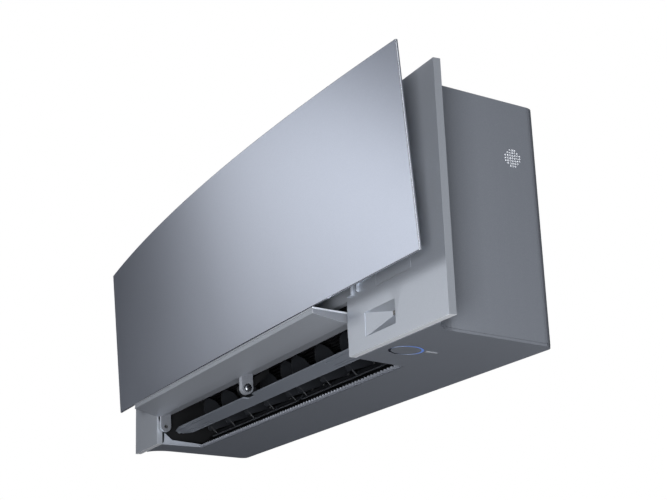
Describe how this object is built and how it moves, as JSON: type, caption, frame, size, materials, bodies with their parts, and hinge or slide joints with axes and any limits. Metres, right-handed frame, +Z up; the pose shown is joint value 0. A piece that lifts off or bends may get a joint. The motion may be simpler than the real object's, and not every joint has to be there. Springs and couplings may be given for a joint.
{
  "type": "mini split indoor unit",
  "caption": "Wall-hung mini split indoor unit with a bowed sliding front panel, a swing-out air flap, a louver and upright vanes.",
  "frame": {"origin": "on the wall plane, at the middle of the four screw holes of the wall plate", "axes": "+X to the viewer's right along the unit, +Y into the wall, +Z up"},
  "size_m": [0.998, 0.2388, 0.311],
  "materials": {
    "silver": "satin silver-blue paint on moulded plastic",
    "panel_silver": "metallic silver lacquer",
    "bright": "light silver lacquer",
    "black_plastic": "fine matt",
    "white_plastic": "plain",
    "zinc": "zinc-coated sheet",
    "steel": "bright",
    "fin": "thin fin stock",
    "copper": "drawn copper tube",
    "brass": "turned brass",
    "net": "moulded net",
    "board": "printed board",
    "cassette": "moulded frame",
    "black_gloss": "dark window",
    "light_blue": "light guide"
  },
  "bodies": {
    "casing": {"mounting_plate": "zinc", "base_frame": "black_plastic", "bottom_cover": "silver", "side_cover_left": "silver", "side_cover_right": "silver", "intake_grille": "silver", "front_frame": "silver", "service_hatch": "silver", "drain_pan": "black_plastic", "outlet_comb": "bright", "evaporator_front": "fin", "evaporator_rear": "fin", "evaporator_bends": "copper", "air_filter_left": "net", "air_filter_right": "net", "deodoriser_cassette": "cassette", "control_box": "white_plastic", "circuit_board": "board", "terminal_block": "black_plastic", "fan_motor": "steel", "fan_bearing": "black_plastic", "refrigerant_pipes": "copper", "flare_nuts": "brass", "drain_nozzle": "white_plastic", "sensor_window": "black_gloss", "indicator_ring": "light_blue", "room_sensor": "white_plastic", "flap_pivots": "steel", "flap_motor": "white_plastic", "louver_motor": "white_plastic", "vane_motors": "white_plastic", "panel_guides": "black_plastic", "panel_motors": "steel"},
    "fan": {"cross_flow_fan": "black_plastic", "fan_shafts": "steel"},
    "flap": {"flap_skin": "bright", "flap_body": "silver", "flap_shaft": "steel"},
    "louver": {"louver": "black_plastic"},
    "panel_arms": {"panel_arm_left": "white_plastic", "panel_arm_right": "white_plastic"},
    "panel": {"front_panel": "panel_silver", "panel_brackets": "white_plastic", "panel_hinge_pins": "steel"},
    "pinion_left": {"panel_pinion_left": "white_plastic"},
    "pinion_right": {"panel_pinion_right": "white_plastic"},
    "button": {"on_off_button": "bright"},
    "link_left": {"vane_link_left": "black_plastic"},
    "link_right": {"vane_link_right": "black_plastic"},
    "vane_1": {"vane_01": "black_plastic"},
    "vane_2": {"vane_02": "black_plastic"},
    "vane_3": {"vane_03": "black_plastic"},
    "vane_4": {"vane_04": "black_plastic"},
    "vane_5": {"vane_05": "black_plastic"},
    "vane_6": {"vane_06": "black_plastic"},
    "vane_7": {"vane_07": "black_plastic"},
    "vane_8": {"vane_08": "black_plastic"},
    "vane_9": {"vane_09": "black_plastic"}
  },
  "joints": [
    {"name": "fan_spin", "type": "hinge", "parent": "casing", "child": "fan", "pos_m": [0, -0.08, -0.038], "axis": [1, 0, 0], "continuous": true},
    {"name": "panel_slide", "type": "slide", "parent": "casing", "child": "panel_arms", "axis": [0, 1, 0], "range_m": [0, 0.0295]},
    {"name": "panel_tilt", "type": "hinge", "parent": "panel_arms", "child": "panel", "pos_m": [0, -0.2, 0.05], "axis": [-1, 0, 0], "range_deg": [0, 3.7]},
    {"name": "pinion_left_spin", "type": "hinge", "parent": "casing", "child": "pinion_left", "pos_m": [-0.405, -0.146, 0.0345], "axis": [-1, 0, 0], "range_deg": [0, 212]},
    {"name": "pinion_right_spin", "type": "hinge", "parent": "casing", "child": "pinion_right", "pos_m": [0.405, -0.146, 0.0345], "axis": [-1, 0, 0], "range_deg": [0, 212]},
    {"name": "flap_swing", "type": "hinge", "parent": "casing", "child": "flap", "pos_m": [0, -0.1615, -0.1235], "axis": [1, 0, 0], "range_deg": [0, 182.8]},
    {"name": "louver_tilt", "type": "hinge", "parent": "casing", "child": "louver", "pos_m": [0, -0.136, -0.1297], "axis": [1, 0, 0], "range_deg": [-20, 20]},
    {"name": "button_press", "type": "slide", "parent": "casing", "child": "button", "axis": [0, 0.0642, 0.9979], "range_m": [0, 0.001], "stiffness_N_per_m": 200, "springref_m": -0.0005},
    {"name": "link_left_slide", "type": "slide", "parent": "casing", "child": "link_left", "axis": [1, 0, 0], "range_m": [-0.01518, 0.01012]},
    {"name": "vane_1_swing", "type": "hinge", "parent": "casing", "child": "vane_1", "pos_m": [-0.321, -0.07067, -0.12475], "axis": [0, -0.712, 0.7022], "range_deg": [-30, 20]},
    {"name": "vane_2_swing", "type": "hinge", "parent": "casing", "child": "vane_2", "pos_m": [-0.248, -0.07067, -0.12475], "axis": [0, -0.712, 0.7022], "range_deg": [-30, 20]},
    {"name": "vane_3_swing", "type": "hinge", "parent": "casing", "child": "vane_3", "pos_m": [-0.175, -0.07067, -0.12475], "axis": [0, -0.712, 0.7022], "range_deg": [-30, 20]},
    {"name": "vane_4_swing", "type": "hinge", "parent": "casing", "child": "vane_4", "pos_m": [-0.102, -0.07067, -0.12475], "axis": [0, -0.712, 0.7022], "range_deg": [-30, 20]},
    {"name": "vane_5_swing", "type": "hinge", "parent": "casing", "child": "vane_5", "pos_m": [-0.029, -0.07067, -0.12475], "axis": [0, -0.712, 0.7022], "range_deg": [-30, 20]},
    {"name": "link_right_slide", "type": "slide", "parent": "casing", "child": "link_right", "axis": [1, 0, 0], "range_m": [-0.01012, 0.01518]},
    {"name": "vane_6_swing", "type": "hinge", "parent": "casing", "child": "vane_6", "pos_m": [0.007, -0.07067, -0.12475], "axis": [0, -0.712, 0.7022], "range_deg": [-20, 30]},
    {"name": "vane_7_swing", "type": "hinge", "parent": "casing", "child": "vane_7", "pos_m": [0.08, -0.07067, -0.12475], "axis": [0, -0.712, 0.7022], "range_deg": [-20, 30]},
    {"name": "vane_8_swing", "type": "hinge", "parent": "casing", "child": "vane_8", "pos_m": [0.153, -0.07067, -0.12475], "axis": [0, -0.712, 0.7022], "range_deg": [-20, 30]},
    {"name": "vane_9_swing", "type": "hinge", "parent": "casing", "child": "vane_9", "pos_m": [0.226, -0.07067, -0.12475], "axis": [0, -0.712, 0.7022], "range_deg": [-20, 30]}
  ],
  "couplings": [
    {"joint": "panel_tilt", "follows": "panel_slide", "rad_per_m": 2.1769},
    {"joint": "pinion_left_spin", "follows": "panel_slide", "rad_per_m": 125},
    {"joint": "pinion_right_spin", "follows": "panel_slide", "rad_per_m": 125},
    {"joint": "vane_1_swing", "follows": "link_left_slide", "rad_per_m": 34.483},
    {"joint": "vane_2_swing", "follows": "link_left_slide", "rad_per_m": 34.483},
    {"joint": "vane_3_swing", "follows": "link_left_slide", "rad_per_m": 34.483},
    {"joint": "vane_4_swing", "follows": "link_left_slide", "rad_per_m": 34.483},
    {"joint": "vane_5_swing", "follows": "link_left_slide", "rad_per_m": 34.483},
    {"joint": "vane_6_swing", "follows": "link_right_slide", "rad_per_m": 34.483},
    {"joint": "vane_7_swing", "follows": "link_right_slide", "rad_per_m": 34.483},
    {"joint": "vane_8_swing", "follows": "link_right_slide", "rad_per_m": 34.483},
    {"joint": "vane_9_swing", "follows": "link_right_slide", "rad_per_m": 34.483}
  ]
}
